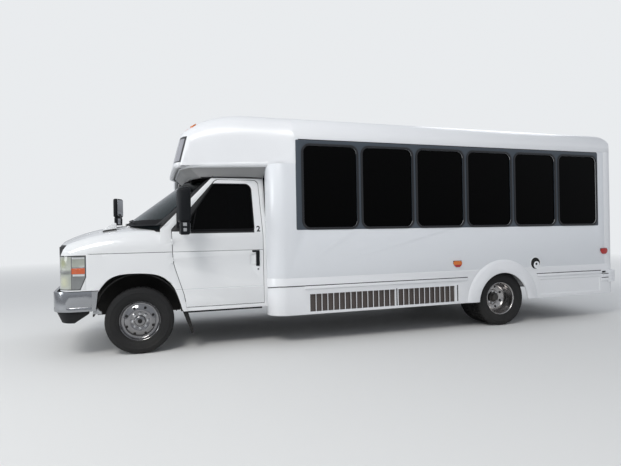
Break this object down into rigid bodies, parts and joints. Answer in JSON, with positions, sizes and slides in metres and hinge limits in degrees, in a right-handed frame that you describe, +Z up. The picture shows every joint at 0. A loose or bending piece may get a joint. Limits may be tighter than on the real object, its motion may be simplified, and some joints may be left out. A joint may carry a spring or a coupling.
{
  "type": "minibus",
  "caption": "Shuttle minibus with a coach body, overhanging front cap and side windows on a van cab chassis, with hinged doors, hood and twin rear wheels.",
  "frame": {"origin": "centre of the bounding box at ground level, below the middle of the vehicle", "axes": "+X forward along the vehicle, +Y to its left side, +Z up from the ground"},
  "size_m": [7.7594, 2.8, 2.8704],
  "materials": {
    "white_body": "gloss",
    "dark_frame": "satin",
    "tinted_glass": "gloss",
    "clear_glass": "gloss",
    "lamp_lens": "gloss",
    "marker_lens": "gloss",
    "sign_face": "gloss",
    "black_plastic": "matt",
    "bright_chrome": "polished",
    "black_tyre": "matt",
    "chassis_black": "satin",
    "cast_grey": "rough",
    "tank_grey": "satin",
    "floor_grey": "matt",
    "seat_fabric": "woven"
  },
  "bodies": {
    "knuckle_left_body": {"knuckle_left": "chassis_black"},
    "knuckle_right_body": {"knuckle_right": "chassis_black"},
    "front_left_wheel": {"front_left_rim": "bright_chrome", "front_left_tyre": "black_tyre"},
    "front_right_wheel": {"front_right_rim": "bright_chrome", "front_right_tyre": "black_tyre"},
    "rear_left_wheels": {"rear_left_rims": "bright_chrome", "rear_left_tyres": "black_tyre"},
    "rear_right_wheels": {"rear_right_rims": "bright_chrome", "rear_right_tyres": "black_tyre"},
    "cab_door_body": {"cab_door": "white_body", "cab_door_glass": "tinted_glass", "door_mirror": "black_plastic"},
    "hood_body": {"hood": "white_body"},
    "entry_front_leaf": {"entry_leaf_front": "dark_frame", "entry_glass_front": "tinted_glass"},
    "entry_rear_leaf": {"entry_leaf_rear": "dark_frame", "entry_glass_rear": "tinted_glass"},
    "rear_door_body": {"rear_door": "white_body", "rear_door_glass": "tinted_glass"},
    "root": {"arch_flares": "white_body", "cab_floor": "floor_grey", "cab_frame": "white_body", "cab_steps": "black_plastic", "coach_floor": "floor_grey", "dashboard": "black_plastic", "door_hinges": "dark_frame", "driver_seat": "seat_fabric", "engine_block": "cast_grey", "exhaust_pipe": "tank_grey", "exterior_lamps": "marker_lens", "fender_left": "white_body", "fender_mirrors": "black_plastic", "fender_right": "white_body", "frame_crossmembers": "chassis_black", "frame_rails": "chassis_black", "front_axle_beams": "chassis_black", "front_bumper": "bright_chrome", "front_cap": "white_body", "front_valance": "black_plastic", "fuel_tank": "tank_grey", "grille": "black_plastic", "headlamps": "lamp_lens", "passenger_seats": "seat_fabric", "rear_axle": "chassis_black", "rear_bumper": "white_body", "rear_wall": "white_body", "roof": "white_body", "side_wall_left": "white_body", "side_wall_right": "white_body", "sign_window": "sign_face", "skirt_left": "white_body", "skirt_right": "white_body", "window_frames_left": "dark_frame", "window_frames_right": "dark_frame", "window_glass_left": "tinted_glass", "window_glass_right": "tinted_glass", "windshield": "clear_glass"}
  },
  "joints": [
    {"name": "steer_left", "type": "hinge", "parent": "root", "child": "knuckle_left_body", "pos_m": [2.93, 0.742, 0.372], "axis": [0, 0, 1], "range_deg": [-34, 34]},
    {"name": "steer_right", "type": "hinge", "parent": "root", "child": "knuckle_right_body", "pos_m": [2.93, -0.742, 0.372], "axis": [0, 0, 1], "range_deg": [-34, 34]},
    {"name": "front_left_spin", "type": "hinge", "parent": "knuckle_left_body", "child": "front_left_wheel", "pos_m": [2.93, 0.881, 0.372], "axis": [0, 1, 0], "continuous": true},
    {"name": "front_right_spin", "type": "hinge", "parent": "knuckle_right_body", "child": "front_right_wheel", "pos_m": [2.93, -0.881, 0.372], "axis": [0, 1, 0], "continuous": true},
    {"name": "rear_left_spin", "type": "hinge", "parent": "root", "child": "rear_left_wheels", "pos_m": [-1.794, 0.949, 0.372], "axis": [0, 1, 0], "continuous": true},
    {"name": "rear_right_spin", "type": "hinge", "parent": "root", "child": "rear_right_wheels", "pos_m": [-1.794, -0.949, 0.372], "axis": [0, 1, 0], "continuous": true},
    {"name": "cab_door_hinge", "type": "hinge", "parent": "root", "child": "cab_door_body", "pos_m": [2.569, 1.015, 1], "axis": [0, 0, -1], "range_deg": [0, 65]},
    {"name": "hood_hinge", "type": "hinge", "parent": "root", "child": "hood_body", "pos_m": [3.0585, 0, 1.4435], "axis": [0, -1, 0], "range_deg": [0, 45]},
    {"name": "entry_front_hinge", "type": "hinge", "parent": "root", "child": "entry_front_leaf", "pos_m": [2.3735, -1.229, 1.2], "axis": [0, 0, 1], "range_deg": [0, 90]},
    {"name": "entry_rear_hinge", "type": "hinge", "parent": "root", "child": "entry_rear_leaf", "pos_m": [1.5865, -1.229, 1.2], "axis": [0, 0, -1], "range_deg": [0, 90]},
    {"name": "rear_door_hinge", "type": "hinge", "parent": "root", "child": "rear_door_body", "pos_m": [-3.85, -0.4035, 1.5], "axis": [0, 0, 1], "range_deg": [0, 100]}
  ],
  "couplings": [
    {"joint": "steer_right", "follows": "steer_left", "ratio": 1},
    {"joint": "entry_rear_hinge", "follows": "entry_front_hinge", "ratio": 1}
  ]
}
